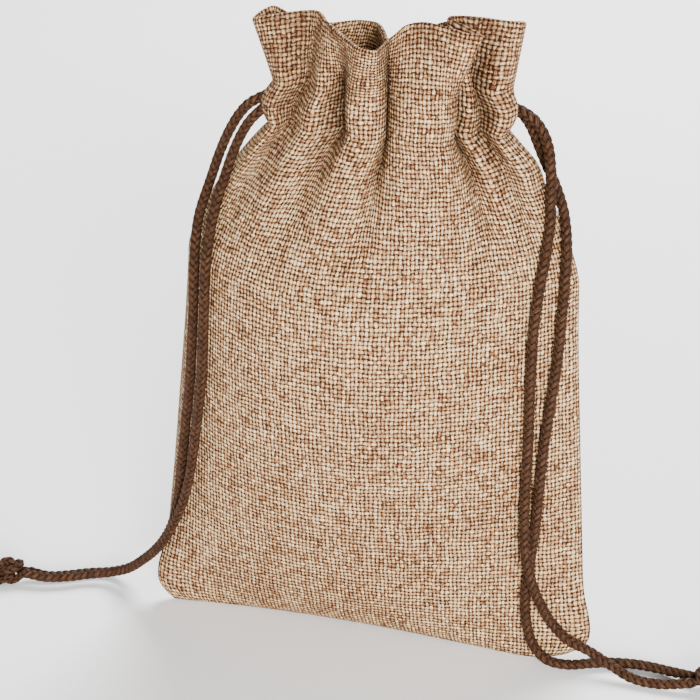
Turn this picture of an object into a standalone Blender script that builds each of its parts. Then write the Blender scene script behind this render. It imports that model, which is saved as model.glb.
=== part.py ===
"""Small drawstring pouch of jute-look cloth: one filled-out cloth bag, gathered at the neck, and two
braided drawstrings that leave the casing at the side seams and end in a knot each.

Metres, +Z up. The front of the pouch looks along -Y, its two side seams are at -X and +X, and the
bottom fold lies on the surface it stands on, at z = 0.
"""
import math

import bpy
import bmesh
import numpy as np
from mathutils import Vector

MM = 0.001

# Driving dimensions, in millimetres.
CLOTH_WIDTH = 100.0       # flat width of the pouch, side seam to side seam
CLOTH_HEIGHT = 150.0      # flat height, bottom fold to mouth
CLOTH_THICK = 1.2         # the doubled edges and slubs included
CORD_DIAMETER = 2.3
CORD_STEP = 2.0           # diameters between the points of a strand's tube
CASING_LOW = 125.0        # height up the cloth of the casing's lower line
CASING_HIGH = 135.0       # and of its upper line
GATHER_START = 89.0       # where the sides start to lean in to the neck
GATHER_POWER = 1.35
CREASE_START = 84.0       # where the gathers' creases run out in the body
CREASE_POWER = 1.8
PUFF = 0.09               # how far the casing puffs out between its two lines, as a share of its size

AROUND = 88               # points round the cloth, side seam to side seam and back
ROWS = (0, 2.5, 5.5, 9, 14, 20, 28, 38, 50, 62, 74, 85, 94, 102, 109, 115, 120.5, 125, 130, 135, 140, 145, 150)

# The filled body, a row for each level: how far up the cloth it is, half the cloth that spans it,
# how deep the front and the back stand out there, and how high the middle of each and the seam lie.
BODY_COLUMNS = ("up", "half_arc", "front", "back", "front_rise", "back_rise", "seam_rise")
BODY = (
    (0.0,   49.6,  0.0,  0.0,   0.0,   0.0,   0.0),
    (5.5,   49.6,  3.7,  5.5,   4.0,   0.0,   5.5),
    (10.5,  49.6,  6.3,  9.8,   8.2,   0.0,  10.5),
    (14.0,  49.6,  7.8, 12.4,  11.4,   1.2,  14.0),
    (20.9,  49.6, 10.0, 16.2,  18.0,   6.6,  20.9),
    (31.4,  49.6, 12.9, 19.4,  28.1,  17.2,  31.4),
    (41.8,  49.6, 15.1, 21.2,  38.3,  28.6,  41.8),
    (52.3,  49.6, 16.9, 22.2,  48.3,  40.2,  52.3),
    (62.7,  49.6, 18.5, 22.6,  58.9,  51.8,  62.7),
    (73.2,  49.4, 19.5, 22.4,  69.3,  63.4,  73.2),
    (83.6,  48.9, 19.6, 21.6,  79.8,  74.9,  83.4),
    (94.1,  48.3, 19.1, 20.2,  90.2,  86.4,  93.4),
    (105.0, 47.8, 18.4, 18.4, 100.8,  98.0, 103.4),
    (115.0, 47.6, 17.6, 16.6, 110.8, 108.4, 111.6),
    (125.0, 47.6, 16.8, 15.0, 120.4, 118.6, 119.8),
    (130.0, 47.6, 16.8, 15.0, 125.2, 123.4, 124.3),
    (135.0, 47.6, 16.8, 15.0, 129.9, 128.0, 128.7),
)

# The smooth ring that the creases of the neck are laid on.
NECK_CENTRE = 1.5
NECK_HALF_WIDTH = 26.2
NECK_FRONT = 12.0
NECK_BACK = 9.5

# Gathers, a row for each ridge or crease: its place along the cloth from the left seam, across the
# front to the right seam at 100 and home across the back, then where it stands at the waist and at
# the mouth.
GATHER_COLUMNS = ("along", "waist_x", "waist_y", "mouth_x", "mouth_y", "mouth_z")
GATHERS = (
    (0.0,   -23.4,  -1.0, -27.6,  -2.6, 140.5),
    (6.5,   -19.0,  -6.6, -22.6,  -3.8, 141.8),
    (13.5,  -13.8,  -2.4, -15.8,   0.0, 142.3),
    (21.5,  -10.4, -10.6, -11.4,  -4.6, 141.2),
    (30.0,   -5.8,  -8.6,  -6.6, -11.2, 140.4),
    (38.5,   -2.4, -15.2,  -1.1, -16.6, 139.0),
    (44.5,    0.6, -14.4,   1.6, -16.8, 138.8),
    (50.0,    1.8,  -5.8,   2.7, -11.0, 139.4),
    (56.5,    5.2, -13.4,   4.9,  -8.9, 142.0),
    (63.5,   10.2, -15.4,   8.6,  -8.4, 143.4),
    (70.5,   14.8, -14.2,  14.4, -10.0, 143.2),
    (77.0,   17.8,  -9.8,  22.0, -12.6, 142.5),
    (82.0,   17.6,  -5.0,  19.0,  -7.6, 142.3),
    (87.0,   20.8,  -8.4,  16.4,  -3.6, 142.2),
    (92.5,   22.8,  -4.0,  22.0,  -1.6, 142.2),
    (100.0,  26.6,   0.0,  28.2,   2.6, 142.6),
    (107.0,  23.8,   5.8,  24.6,   7.2, 142.4),
    (114.5,  18.4,   4.4,  19.6,   6.6, 142.2),
    (122.5,  14.6,  11.4,  14.8,   8.4, 141.2),
    (131.5,   8.8,   6.4,  10.2,  10.6, 139.6),
    (141.0,   4.2,  12.6,   7.0,   3.6, 138.8),
    (150.5,  -1.0,   6.6,   2.6,  -7.6, 138.4),
    (156.0,  -3.6,  11.0,  -0.4,  -1.0, 139.4),
    (162.0,  -7.6,  12.0,  -3.0,   5.2, 139.4),
    (169.0, -11.0,   6.6,  -7.6,   8.2, 139.4),
    (177.5, -15.4,  10.4, -13.2,   8.0, 139.8),
    (186.0, -17.6,   4.6, -19.6,   6.4, 141.0),
    (193.5, -20.2,   4.2, -25.2,   4.4, 141.6),
)

# The bottom fold, a row for each place across from the left corner at -1 to the right one at 1: how
# far forward of the seams' plane it lies.
FOLD_COLUMNS = ("across", "forward")
FOLD = (
    (-1.0,   1.6),
    (-0.5,  -0.3),
    (0.0,    0.2),
    (0.5,    2.8),
    (0.78,   4.4),
    (1.0,    4.0),
)

# Unevenness of the filling and of the way the pouch stands.
LEFT_FULLNESS = 0.32      # the front is fuller on its left half
SHOULDER_FULLNESS = 0.20  # and a little flatter across than a plain arc
FOLD_FADE = 42.0          # height up the cloth over which the bottom fold's own shift runs out
RISE_POWER = 1.62         # how quickly the seam's own height takes over from the middle's
BACK_RISE_POWER = 0.8
NECK_SLANT = 1.0          # the neck stands this much higher at its right side, and lower at its left
SETTLE = 3.0              # how far the filled base is pressed down onto the surface
SETTLE_FADE = 16.0
EDGE_ROOM = 0.9           # half the room that two layers keep beside a seam or the bottom fold
EDGE_REACH = 2.2

# Everything above is measured from the seams' own plane: this brings the middle of the pouch's box
# over the origin.
TO_ORIGIN = (0.02, -1.24, 0.0)

# The free strands' routes by hand, a point each: first where the strand leaves the casing at the side
# seam, down the front of the pouch, along the surface it stands on, and up to its knot.
ROUTES = {
    "cord_left_a": (
        (-27.1, -1.6, 124.0), (-29.0, -1.7, 122.8), (-31.0, -1.6, 120.6), (-33.0, -1.5, 117.4),
        (-35.2, -1.5, 112.6), (-37.4, -2.6, 105.6), (-39.0, -6.4, 97.8), (-38.8, -10.0, 90.0),
        (-38.7, -11.3, 80.0), (-39.4, -10.9, 68.5), (-40.2, -10.1, 60.0), (-41.6, -8.8, 50.5),
        (-43.0, -7.6, 40.0), (-44.4, -6.4, 30.5), (-46.2, -5.1, 22.8), (-48.6, -3.5, 17.6),
        (-51.8, -1.2, 12.8), (-55.9, 1.2, 8.1), (-60.9, 3.8, 3.6), (-66.0, 4.5, 1.4),
        (-70.6, 3.0, 1.2), (-74.8, 0.4, 1.3), (-79.2, -1.6, 1.4), (-84.4, -2.2, 2.3),
    ),
    "cord_left_b": (
        (-26.6, -3.0, 121.4), (-28.2, -3.1, 119.7), (-29.9, -3.1, 117.1), (-31.6, -3.9, 113.2),
        (-33.1, -6.1, 107.6), (-34.4, -9.0, 101.0), (-35.0, -12.0, 94.0), (-35.2, -14.0, 86.5),
        (-35.3, -14.5, 78.0), (-35.7, -14.2, 69.5), (-36.6, -13.2, 60.0), (-38.2, -11.8, 50.0),
        (-39.8, -10.7, 40.0), (-41.3, -9.4, 34.0), (-42.9, -8.9, 28.6), (-45.0, -8.1, 23.9),
        (-47.2, -7.0, 19.6), (-50.7, -4.9, 14.4), (-54.9, -2.5, 9.8), (-60.2, 0.3, 5.1),
        (-65.2, 1.5, 2.8), (-69.9, 0.1, 2.3), (-73.8, -2.3, 2.3), (-78.4, -4.2, 2.4),
        (-84.5, -4.8, 3.0),
    ),
    "cord_right_a": (
        (30.3, -0.9, 126.4), (32.1, -1.0, 125.3), (33.9, -1.0, 122.9), (35.2, -1.1, 119.6),
        (36.1, -1.5, 115.0), (36.6, -2.4, 109.0), (37.1, -4.4, 103.0), (36.9, -6.9, 96.6),
        (36.3, -9.1, 89.6), (35.8, -9.9, 81.0), (35.8, -9.9, 68.0), (36.0, -9.6, 58.0),
        (36.0, -9.3, 46.0), (36.2, -9.6, 37.0), (36.9, -10.4, 30.0), (38.4, -10.5, 23.6),
        (40.7, -9.0, 16.8), (43.6, -7.4, 11.0), (47.6, -6.8, 7.0), (52.2, -6.6, 5.0),
        (57.0, -8.0, 3.2), (62.0, -9.6, 1.6), (68.0, -10.2, 1.4), (75.4, -9.4, 2.4),
    ),
    "cord_right_b": (
        (30.1, 2.0, 123.4), (31.2, 2.2, 121.6), (32.6, 2.4, 118.4), (34.4, 2.3, 114.6),
        (36.6, 1.7, 110.6), (39.1, -0.3, 105.4), (40.6, -2.9, 99.8), (41.1, -4.9, 92.0),
        (41.0, -5.9, 83.0), (40.8, -6.5, 74.6), (40.0, -7.2, 64.0), (39.2, -7.7, 54.0),
        (38.8, -7.8, 44.0), (38.4, -7.6, 34.0), (37.7, -7.7, 25.0), (37.2, -7.9, 17.6),
        (37.8, -8.0, 11.0), (39.6, -8.2, 5.6), (43.0, -8.2, 2.2), (47.6, -7.6, 1.4),
        (52.4, -5.6, 1.4), (57.6, -3.6, 1.3), (64.0, -3.0, 1.3), (70.0, -4.2, 1.5),
        (75.8, -6.6, 2.4),
    ),
}

# Each knot and its two cut tails as one tapering body: where its centreline runs ahead of the strands
# it joins, and how thick it is there.
KNOT_COLUMNS = ("ahead", "aside", "height", "radius")
KNOT = (
    (0.0,  0.0, 2.8, 2.4),
    (1.1,  0.0, 3.2, 3.1),
    (2.8,  0.0, 3.6, 3.5),
    (4.6,  0.1, 3.5, 3.4),
    (6.0,  0.2, 3.0, 2.6),
    (7.2,  0.3, 2.5, 1.9),
    (9.4,  0.5, 2.2, 1.9),
    (12.4, 0.6, 2.1, 2.0),
    (15.0, 0.4, 2.0, 1.9),
)

# Where each knot starts, and its heading in degrees from +X.
KNOTS = {
    "knot_left": ((-85.3, -3.5), 184.0),
    "knot_right": ((76.4, -8.3), -8.0),
}


def column(rows, names, name):
    """One named column of a table as an array."""
    return np.array([row[names.index(name)] for row in rows])


def body(name, up):
    """A value of the body's table, read smoothly at a height up the cloth."""
    ups = column(BODY, BODY_COLUMNS, "up")
    values = column(BODY, BODY_COLUMNS, name)
    return float(hermite(ups, values, np.gradient(values, ups), min(up, ups[-1])))


def hermite(places, values, slopes, at):
    """Cubic through a table's values with the given slopes."""
    index = int(np.clip(np.searchsorted(places, at) - 1, 0, len(places) - 2))
    step = places[index + 1] - places[index]
    part = (at - places[index]) / step
    keep = (1 + 2 * part) * (1 - part) ** 2
    lead = part * (1 - part) ** 2 * step
    take = part ** 2 * (3 - 2 * part)
    trail = part ** 2 * (part - 1) * step
    return (keep * values[index] + lead * slopes[index]
            + take * values[index + 1] + trail * slopes[index + 1])


def fold_forward(across):
    """How far forward of the seams' plane the bottom fold lies."""
    places = column(FOLD, FOLD_COLUMNS, "across")
    values = column(FOLD, FOLD_COLUMNS, "forward")
    return float(hermite(places, values, np.gradient(values, places), across))


def gather(name, along):
    """A value of the gathers' table, read smoothly round the closed cloth."""
    perimeter = 2 * CLOTH_WIDTH
    places = column(GATHERS, GATHER_COLUMNS, "along")
    values = column(GATHERS, GATHER_COLUMNS, name)
    places = np.concatenate([places[-2:] - perimeter, places, places[:3] + perimeter])
    values = np.concatenate([values[-2:], values, values[:3]])
    return float(hermite(places, values, np.gradient(values, places), along % perimeter))


def arc_angle(depth_share):
    """Half angle of the arc whose depth is this share of half its length."""
    angles = np.linspace(1e-3, 1.5, 400)
    return float(np.interp(depth_share, (1 - np.cos(angles)) / angles, angles))


def ramp(value, start, end):
    """0 up to start, 1 from end on, straight between."""
    return min(max((value - start) / (end - start), 0.0), 1.0)


def side_of(along):
    """Place across from -1 at the left seam to 1 at the right, and whether it is on the front."""
    along = along % (2 * CLOTH_WIDTH)
    if along <= CLOTH_WIDTH:
        return 2 * along / CLOTH_WIDTH - 1, True
    return 3 - 2 * along / CLOTH_WIDTH, False


def body_point(along, up):
    """The cloth of the filled body, before the neck draws it in."""
    across, is_front = side_of(along)
    half_arc = body("half_arc", up)
    depth = max(body("front" if is_front else "back", up), 0.02)
    angle = arc_angle(depth / half_arc)
    radius = half_arc / angle
    x = radius * math.sin(angle * across)
    bulge = radius * (math.cos(angle * across) - math.cos(angle))
    inner = 1 - across ** 2
    if is_front:
        bulge += depth * inner * (SHOULDER_FULLNESS * across ** 2 - LEFT_FULLNESS * across)
        share = inner ** RISE_POWER
        rise = share * body("front_rise", up) + (1 - share) * body("seam_rise", up)
    else:
        share = inner ** BACK_RISE_POWER
        rise = share * body("back_rise", up) + (1 - share) * body("seam_rise", up)
        rise = max(rise - SETTLE * (1 - across ** 4) * math.exp(-up / SETTLE_FADE), 0.0)
    rise += NECK_SLANT * across * ramp(up, GATHER_START, CASING_LOW)
    from_edge = min((1 - abs(across)) * CLOTH_WIDTH / 2, up)
    bulge += EDGE_ROOM * ramp(from_edge, 0, EDGE_REACH) * (1 - ramp(up, GATHER_START, CASING_LOW))
    shift = -fold_forward(across) * (1 - ramp(up, 0, FOLD_FADE)) ** 2
    return np.array([x, shift + (-bulge if is_front else bulge), rise])


def neck_ring(along):
    """The smooth ring of the neck, before its creases."""
    across, is_front = side_of(along)
    turn = across * math.pi / 2
    depth = -NECK_FRONT if is_front else NECK_BACK
    return np.array([NECK_CENTRE + NECK_HALF_WIDTH * math.sin(turn), depth * math.cos(turn)])


def cloth_point(along, up):
    """Middle of the cloth's thickness at a place along and up the flat pouch."""
    point = body_point(along, min(up, CASING_HIGH))
    ring = neck_ring(along)
    waist = np.array([gather("waist_x", along), gather("waist_y", along)])
    drawn_in = ramp(up, GATHER_START, CASING_LOW) ** GATHER_POWER
    creased = ramp(up, CREASE_START, CASING_LOW) ** CREASE_POWER
    place = point[:2] * (1 - drawn_in) + ring * drawn_in + (waist - ring) * creased
    if CASING_LOW < up < CASING_HIGH:
        swell = PUFF * math.sin(math.pi * (up - CASING_LOW) / (CASING_HIGH - CASING_LOW))
        centre = np.array([NECK_CENTRE, 0.0])
        place = centre + (place - centre) * (1 + swell)
    height = point[2]
    if up > CASING_HIGH:
        flared = ramp(up, CASING_HIGH, CLOTH_HEIGHT)
        mouth = np.array([gather("mouth_x", along), gather("mouth_y", along)])
        place = place * (1 - flared) + mouth * flared
        height = height * (1 - flared) + gather("mouth_z", along) * flared
    return np.array([place[0], place[1], height + CLOTH_THICK / 2])


def smooth_route(points, spacing):
    """Points at about this spacing on the smooth curve through a route's own points."""
    places = np.array(points)
    run = np.concatenate([[0.0], np.cumsum(np.linalg.norm(np.diff(places, axis=0), axis=1))])
    slopes = np.gradient(places, run, axis=0)
    count = round(run[-1] / spacing)
    return [hermite(run, places, slopes, at) for at in np.linspace(0, run[-1], count + 1)]


def knot_line(start, heading):
    """Centreline and radii of a knot with its tails, lying ahead of the strands it joins."""
    turn = math.radians(heading)
    line = []
    for row in KNOT:
        at = dict(zip(KNOT_COLUMNS, row))
        x = start[0] + at["ahead"] * math.cos(turn) - at["aside"] * math.sin(turn)
        y = start[1] + at["ahead"] * math.sin(turn) + at["aside"] * math.cos(turn)
        line.append((np.array([x, y, at["height"]]), at["radius"]))
    return line


def placed(point):
    """A point of the design as a place in the scene, in metres."""
    return (Vector(point) + Vector(TO_ORIGIN)) * MM


def clear_scene():
    for item in list(bpy.data.objects):
        bpy.data.objects.remove(item, do_unlink=True)


def make_material(name, colour, roughness):
    material = bpy.data.materials.new(name)
    material.use_nodes = True
    shader = material.node_tree.nodes["Principled BSDF"]
    shader.inputs["Base Color"].default_value = (*colour, 1.0)
    shader.inputs["Roughness"].default_value = roughness
    shader.inputs["Metallic"].default_value = 0.0
    return material


def make_bag(collection, material):
    """The cloth as an open surface, front and back meeting in the bottom fold, with its thickness."""
    mesh = bpy.data.meshes.new("bag")
    shape = bmesh.new()
    step = 2 * CLOTH_WIDTH / AROUND
    rings = []
    for up in ROWS:
        ring = []
        for index in range(AROUND):
            if up == 0 and index > AROUND // 2:
                ring.append(ring[AROUND - index])
                continue
            ring.append(shape.verts.new(placed(cloth_point(index * step, up))))
        rings.append(ring)
    for lower, upper in zip(rings, rings[1:]):
        for index in range(AROUND):
            after = (index + 1) % AROUND
            shape.faces.new((lower[index], lower[after], upper[after], upper[index]))
    shape.to_mesh(mesh)
    shape.free()
    mesh.shade_smooth()
    bag = bpy.data.objects.new("bag", mesh)
    collection.objects.link(bag)
    bag.data.materials.append(material)
    wall = bag.modifiers.new("cloth thickness", "SOLIDIFY")
    wall.thickness = CLOTH_THICK * MM
    wall.offset = 0.0
    return bag


def make_tube(collection, name, material, line):
    """A round body along a line of points, each with its own radius."""
    curve = bpy.data.curves.new(name, "CURVE")
    curve.dimensions = "3D"
    curve.bevel_depth = MM
    curve.bevel_resolution = 2
    curve.use_fill_caps = True
    spline = curve.splines.new("POLY")
    spline.points.add(len(line) - 1)
    for point, (place, radius) in zip(spline.points, line):
        point.co = (*placed(place), 1.0)
        point.radius = radius
    tube = bpy.data.objects.new(name, curve)
    collection.objects.link(tube)
    tube.data.materials.append(material)
    return tube


def main():
    clear_scene()
    collection = bpy.data.collections.new("burlap_sack")
    bpy.context.scene.collection.children.link(collection)
    cloth = make_material("jute_look_cloth", (0.46, 0.33, 0.23), 0.9)
    make_bag(collection, cloth)
    braid = make_material("brown_braid", (0.16, 0.07, 0.04), 0.8)
    for name, points in ROUTES.items():
        line = [(place, CORD_DIAMETER / 2) for place in smooth_route(points, CORD_STEP * CORD_DIAMETER)]
        make_tube(collection, name, braid, line)
    for name, (start, heading) in KNOTS.items():
        make_tube(collection, name, braid, knot_line(start, heading))


main()
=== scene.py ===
"""Looks of a small drawstring sack of jute-look cloth, with two brown braided drawstrings.

The cloth is laid out in flat millimetres, round the pouch and up it, and that flat place is also its
UV, in threads, so that the weave follows every fold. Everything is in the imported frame's own places.
"""
import math

import bpy
import numpy as np
from mathutils import Matrix, Vector

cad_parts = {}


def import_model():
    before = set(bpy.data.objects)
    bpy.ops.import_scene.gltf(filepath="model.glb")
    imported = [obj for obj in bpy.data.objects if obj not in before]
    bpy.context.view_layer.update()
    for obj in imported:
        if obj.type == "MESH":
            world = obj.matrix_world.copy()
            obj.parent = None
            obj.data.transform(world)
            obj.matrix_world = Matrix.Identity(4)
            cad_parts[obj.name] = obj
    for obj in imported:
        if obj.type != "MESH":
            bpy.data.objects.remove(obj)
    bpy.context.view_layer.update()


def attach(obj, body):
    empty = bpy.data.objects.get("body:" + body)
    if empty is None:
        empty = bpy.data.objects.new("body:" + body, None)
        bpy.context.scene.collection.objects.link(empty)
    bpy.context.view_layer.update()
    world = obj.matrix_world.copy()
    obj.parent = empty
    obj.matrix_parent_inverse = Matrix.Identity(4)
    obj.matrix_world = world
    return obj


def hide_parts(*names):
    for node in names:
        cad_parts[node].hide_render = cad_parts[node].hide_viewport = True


MM = 0.001

# --------------------------------------
# The pouch's driving sizes, in millimetres. On the flat cloth, along runs round the pouch from the left
# side seam over the front, and up runs from the bottom fold to the mouth.
CLOTH_WIDTH = 100.0       # flat width of the pouch, side seam to side seam
CLOTH_HEIGHT = 150.0      # flat height, bottom fold to mouth
CLOTH_THICK = 1.1         # as drawn here
CAD_THICK = 1.2           # as the CAD's shell has it
CORD_DIAMETER = 2.3
CASING_LOW = 125.0        # height up the cloth of the casing's lower line
CASING_HIGH = 135.0       # and of its upper line
GATHER_START = 89.0       # where the sides start to lean in to the neck
GATHER_POWER = 1.35
CREASE_START = 92.0       # where the gathers' creases run out in the body
CREASE_POWER = 1.6
PUFF = 0.09               # how far the casing puffs out between its two lines, as a share of its size
PUFF_PLAIN = 0.2          # share of the puff away from the side seams

# The filled body, a row for each level: how far up the cloth it is, half the cloth that spans it, how
# deep the front and the back stand out there, and how high the middle of each and the seam lie.
BODY_COLUMNS = ("up", "half_arc", "front", "back", "front_rise", "back_rise", "seam_rise")
BODY = (
    (0.0,   49.6,  0.0,  0.0,   0.0,   0.0,   0.0),
    (5.5,   49.6,  3.7,  5.5,   4.0,   0.0,   5.5),
    (10.5,  49.6,  6.3,  9.8,   8.2,   0.0,  10.5),
    (14.0,  49.6,  7.8, 12.4,  11.4,   1.2,  14.0),
    (20.9,  49.6, 10.0, 16.2,  18.0,   6.6,  20.9),
    (31.4,  49.6, 12.9, 19.4,  28.1,  17.2,  31.4),
    (41.8,  49.6, 15.1, 21.2,  38.3,  28.6,  41.8),
    (52.3,  49.6, 16.9, 22.2,  48.3,  40.2,  52.3),
    (62.7,  49.6, 18.5, 22.6,  58.9,  51.8,  62.7),
    (73.2,  49.4, 19.5, 22.4,  69.3,  63.4,  73.2),
    (83.6,  48.9, 19.6, 21.6,  79.8,  74.9,  83.4),
    (94.1,  48.3, 19.1, 20.2,  90.2,  86.4,  93.4),
    (105.0, 47.8, 18.4, 18.4, 100.8,  98.0, 103.4),
    (115.0, 47.6, 17.6, 16.6, 110.8, 108.4, 111.6),
    (125.0, 47.6, 16.8, 15.0, 120.4, 118.6, 119.8),
    (130.0, 47.6, 16.8, 15.0, 125.2, 123.4, 124.3),
    (135.0, 47.6, 16.8, 15.0, 129.9, 128.0, 128.7),
)

# The smooth ring that the creases of the neck are laid on.
NECK_CENTRE = 1.5
NECK_HALF_WIDTH = 26.2
NECK_FRONT = 12.0
NECK_BACK = 9.5

# The neck's creases, a row for each: its place along the cloth, where it lies at the casing and at the
# mouth, how high it is at the mouth, and how much further it lies at the casing's lower line.
GATHER_COLUMNS = ("along", "waist_x", "waist_y", "mouth_x", "mouth_y", "mouth_z", "low_x", "low_y")
GATHERS = (
    (0.0,   -23.4,  -1.0, -27.6,  -2.6, 140.5, -0.9,  0.0),
    (6.2,   -20.4,  -6.2, -22.6,  -3.8, 141.8, -1.6,  0.0),
    (12.8,  -16.4,  -1.4, -15.8,   0.0, 142.3, -3.6,  0.0),
    (22.0,  -10.8, -10.8, -11.4,  -4.6, 141.2, -2.4,  0.0),
    (29.4,   -7.4,  -4.4,  -6.6, -11.2, 140.4,  0.2,  0.0),
    (38.4,   -2.8, -15.0,  -1.1, -16.6, 139.0,  0.0,  0.0),
    (42.4,    1.0, -15.3,   1.4, -16.8, 138.8,  0.0,  0.0),
    (45.0,    2.3, -14.1,   2.0, -15.4, 138.9,  0.0,  0.0),
    (50.2,    2.4,  -6.0,   2.6, -10.2, 139.5,  0.0,  0.0),
    (54.8,    4.5, -12.2,   4.2, -10.0, 141.0,  0.0,  0.0),
    (58.4,    7.1, -14.8,   5.8,  -8.8, 142.4,  0.0,  0.0),
    (63.0,   10.8, -15.4,   9.4,  -8.4, 143.4,  0.0,  0.0),
    (68.0,   14.8, -14.4,  14.6, -10.0, 143.2,  0.0,  0.0),
    (72.8,   16.6, -12.4,  19.8, -11.8, 142.6,  0.0,  0.0),
    (75.4,   17.0, -10.2,  21.8, -11.2, 142.5, -0.4,  0.0),
    (80.4,   14.6,  -1.4,  14.2,  -3.4, 143.4, -0.4,  0.0),
    (85.6,   18.0,  -1.8,  15.4,  -1.4, 143.7,  1.0, -5.4),
    (90.2,   18.8,  -0.6,  20.2,  -0.8, 143.6,  2.0,  0.0),
    (94.8,   24.2,  -5.8,  25.4,  -2.0, 143.6,  1.0,  0.0),
    (100.0,  26.6,   0.0,  28.4,   1.4, 142.9, -0.4,  0.0),
    (107.0,  23.8,   5.8,  24.8,   3.2, 142.0,  0.0,  0.0),
    (114.5,  18.4,   4.4,  19.8,   3.6, 141.4,  0.0,  0.0),
    (122.5,  14.6,  11.4,  14.8,   6.4, 140.6,  0.0,  0.0),
    (131.5,   8.8,   6.4,  10.2,  10.2, 139.6,  0.0,  0.0),
    (141.0,   4.2,  12.6,   7.0,   3.6, 138.8,  0.0,  0.0),
    (150.5,  -1.0,   6.6,   2.6,  -7.6, 138.4,  0.0,  0.0),
    (156.0,  -3.6,  11.0,  -0.4,  -1.0, 139.4,  0.0,  0.0),
    (162.0,  -7.6,  12.0,  -3.0,   5.2, 139.4,  0.0,  0.0),
    (169.0, -11.0,   6.6,  -7.6,   7.6, 139.2,  0.0,  0.0),
    (177.5, -15.4,  10.4, -13.6,   4.4, 138.8,  0.0,  0.0),
    (186.0, -18.0,   5.4, -19.6,   2.4, 139.6,  0.0,  0.0),
    (193.5, -21.6,   4.6, -25.4,   3.4, 141.8,  0.0,  0.0),
)

# How far forward the bottom fold lies, from -1 at the left seam to 1 at the right.
FOLD_COLUMNS = ("across", "forward")
FOLD = (
    (-1.0,   1.6),
    (-0.5,  -0.3),
    (0.0,    0.2),
    (0.5,    2.8),
    (0.78,   4.4),
    (1.0,    4.0),
)

LEFT_FULLNESS = 0.32      # how much fuller the front's left half is, and how much flatter its right
SHOULDER_FULLNESS = 0.20  # how much fuller the front is towards both its sides
FOLD_FADE = 42.0          # height at which the bottom fold's curve has faded out
RISE_POWER = 1.62         # how quickly the front's rows rise from the seams to the middle
BACK_RISE_POWER = 0.8     # and the back's
NECK_SLANT = 1.0          # how far the neck rises to the right and drops to the left
SETTLE = 3.0              # how far the back settles at its foot
SETTLE_FADE = 16.0
EDGE_ROOM = 0.9           # how far the front and the back stand off each other near their edges
EDGE_REACH = 2.2
FLAT_DEPTH = 0.02         # least depth of a level, where the cloth lies flat
TO_ORIGIN = (0.02, -1.24, 0.0)    # from the tables' places to the frame's own

# The free strands' routes, as the CAD has them but for the right pair's first points, which are moved
# by up to 1.2 mm to follow the finer folds.
ROUTES = {
    "cord_left_a": (
        (-27.1, -1.6, 124.0), (-29.0, -1.7, 122.8), (-31.0, -1.6, 120.6), (-33.0, -1.5, 117.4),
        (-35.2, -1.5, 112.6), (-37.4, -2.6, 105.6), (-39.0, -6.4, 97.8), (-38.8, -10.0, 90.0),
        (-38.7, -11.3, 80.0), (-39.4, -10.9, 68.5), (-40.2, -10.1, 60.0), (-41.6, -8.8, 50.5),
        (-43.0, -7.6, 40.0), (-44.4, -6.4, 30.5), (-46.2, -5.1, 22.8), (-48.6, -3.5, 17.6),
        (-51.8, -1.2, 12.8), (-55.9, 1.2, 8.1), (-60.9, 3.8, 3.6), (-66.0, 4.5, 1.4),
        (-70.6, 3.0, 1.2), (-74.8, 0.4, 1.3), (-79.2, -1.6, 1.4), (-84.4, -2.2, 2.3),
    ),
    "cord_left_b": (
        (-26.6, -3.0, 121.4), (-28.2, -3.1, 119.7), (-29.9, -3.1, 117.1), (-31.6, -3.9, 113.2),
        (-33.1, -6.1, 107.6), (-34.4, -9.0, 101.0), (-35.0, -12.0, 94.0), (-35.2, -14.0, 86.5),
        (-35.3, -14.5, 78.0), (-35.7, -14.2, 69.5), (-36.6, -13.2, 60.0), (-38.2, -11.8, 50.0),
        (-39.8, -10.7, 40.0), (-41.3, -9.4, 34.0), (-42.9, -8.9, 28.6), (-45.0, -8.1, 23.9),
        (-47.2, -7.0, 19.6), (-50.7, -4.9, 14.4), (-54.9, -2.5, 9.8), (-60.2, 0.3, 5.1),
        (-65.2, 1.5, 2.8), (-69.9, 0.1, 2.3), (-73.8, -2.3, 2.3), (-78.4, -4.2, 2.4),
        (-84.5, -4.8, 3.0),
    ),
    "cord_right_a": (
        (30.1, -0.5, 125.4), (32.1, -0.9, 124.2), (33.9, -1.0, 122.0), (35.2, -1.1, 119.2),
        (36.1, -1.5, 115.0), (36.6, -2.4, 109.0), (37.1, -4.4, 103.0), (36.9, -6.9, 96.6),
        (36.3, -9.1, 89.6), (35.8, -9.9, 81.0), (35.8, -9.9, 68.0), (36.0, -9.6, 58.0),
        (36.0, -9.3, 46.0), (36.2, -9.6, 37.0), (36.9, -10.4, 30.0), (38.4, -10.5, 23.6),
        (40.7, -9.0, 16.8), (43.6, -7.4, 11.0), (47.6, -6.8, 7.0), (52.2, -6.6, 5.0),
        (57.0, -8.0, 3.2), (62.0, -9.6, 1.6), (68.0, -10.2, 1.4), (75.4, -9.4, 2.4),
    ),
    "cord_right_b": (
        (30.1, 2.0, 123.4), (31.2, 2.2, 121.6), (32.6, 2.4, 118.4), (34.4, 2.3, 114.6),
        (36.6, 1.7, 110.6), (39.1, -0.3, 105.4), (40.6, -2.9, 99.8), (41.1, -4.9, 92.0),
        (41.0, -5.9, 83.0), (40.8, -6.5, 74.6), (40.0, -7.2, 64.0), (39.2, -7.7, 54.0),
        (38.8, -7.8, 44.0), (38.4, -7.6, 34.0), (37.7, -7.7, 25.0), (37.2, -7.9, 17.6),
        (37.8, -8.0, 11.0), (39.6, -8.2, 5.6), (43.0, -8.2, 2.2), (47.6, -7.6, 1.4),
        (52.4, -5.6, 1.4), (57.6, -3.6, 1.3), (64.0, -3.0, 1.3), (70.0, -4.2, 1.5),
        (75.8, -6.6, 2.4),
    ),
}

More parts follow.
